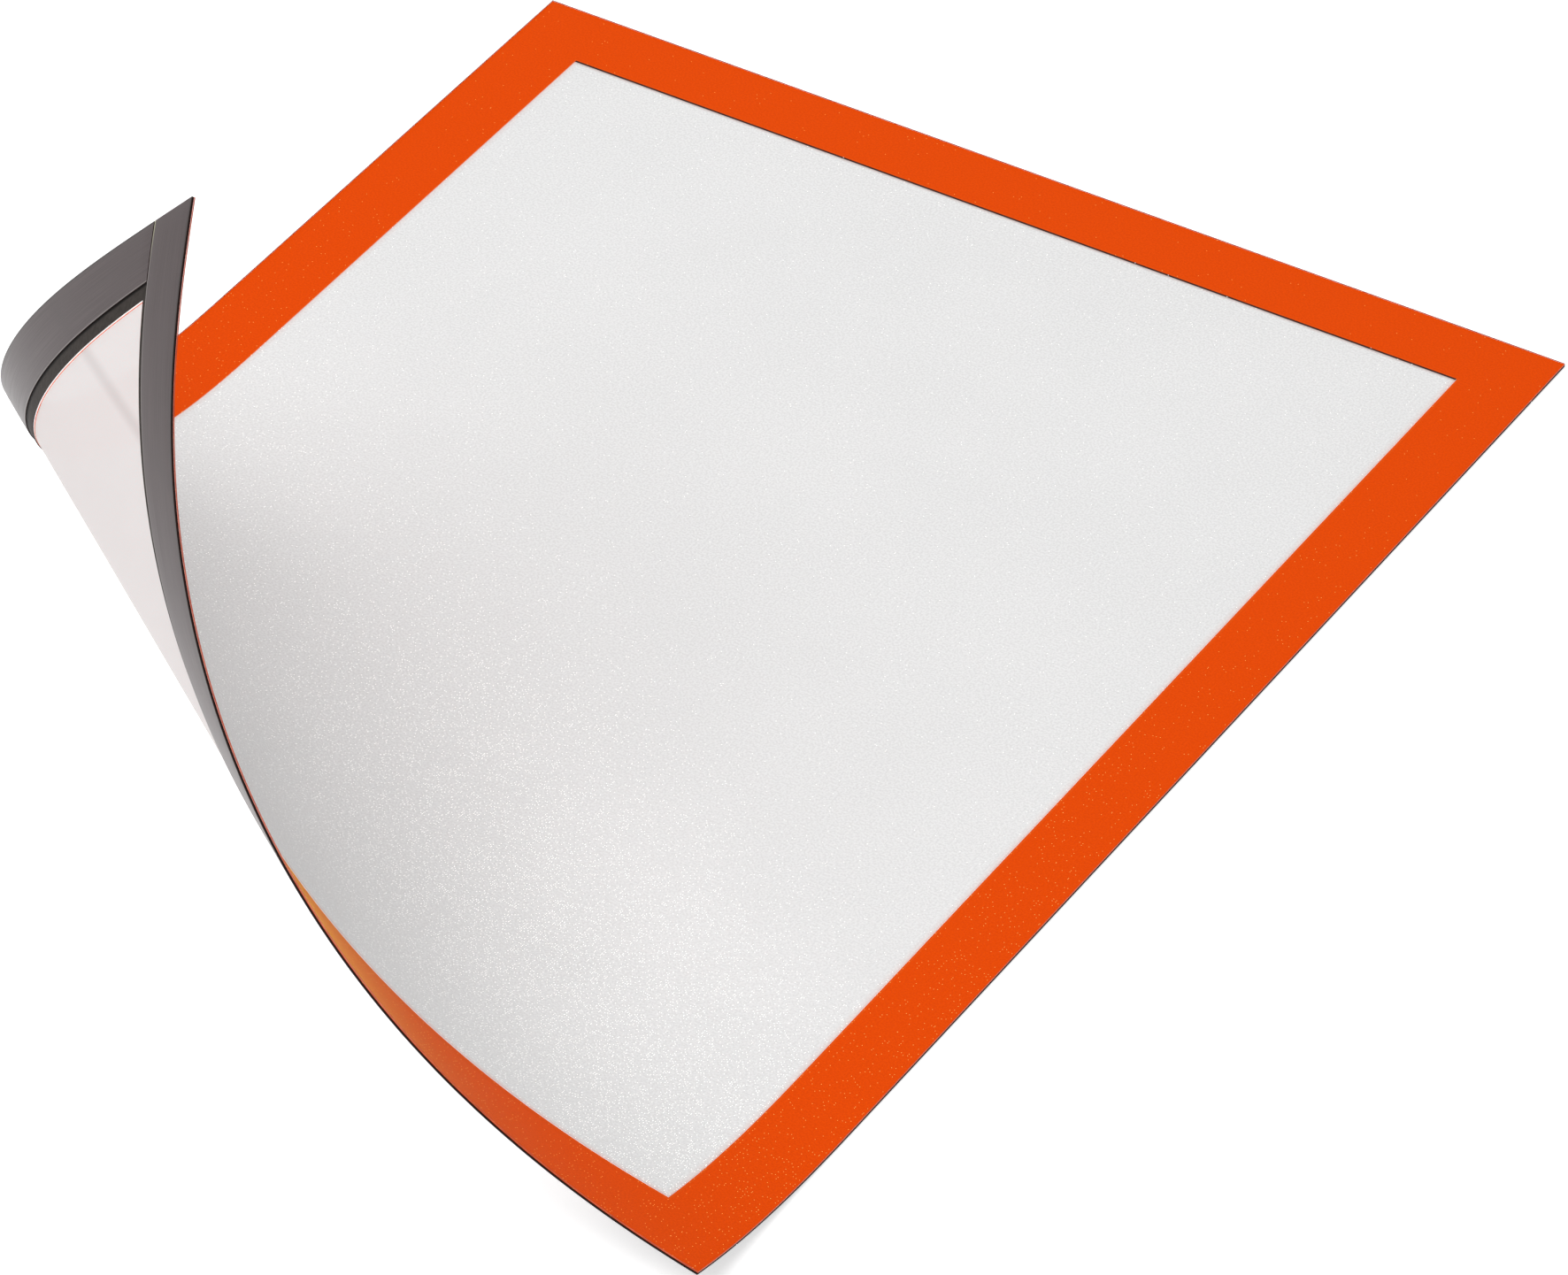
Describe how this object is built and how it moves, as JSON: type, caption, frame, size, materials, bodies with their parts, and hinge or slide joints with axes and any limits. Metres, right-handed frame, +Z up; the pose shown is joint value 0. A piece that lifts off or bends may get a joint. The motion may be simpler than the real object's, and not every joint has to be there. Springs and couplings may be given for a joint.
{
  "type": "magnetic document pocket",
  "caption": "Flat document frame: clear matt film with an orange border, backed by dark magnet strips round an open window, lying face up with one corner curled over.",
  "frame": {"origin": "on the surface that the sheet lies on, under the middle of its bounding box", "axes": "+Z up out of the front of the sheet, +Y along its long sides away from the curled end, +X to the right"},
  "size_m": [0.2364, 0.3226, 0.1169],
  "materials": {
    "film": "clear film with a fine matt grain",
    "border": "even orange colour seen through the film",
    "backing": "dark matt sheet",
    "magnet": "satin dark grey with fine lengthwise streaks"
  },
  "bodies": {
    "root": {"front_film": "film", "colour_border": "border", "backing_frame": "backing", "magnet_strip_top": "magnet", "magnet_strip_bottom": "magnet", "magnet_strip_left": "magnet", "magnet_strip_right": "magnet"}
  },
  "joints": []
}
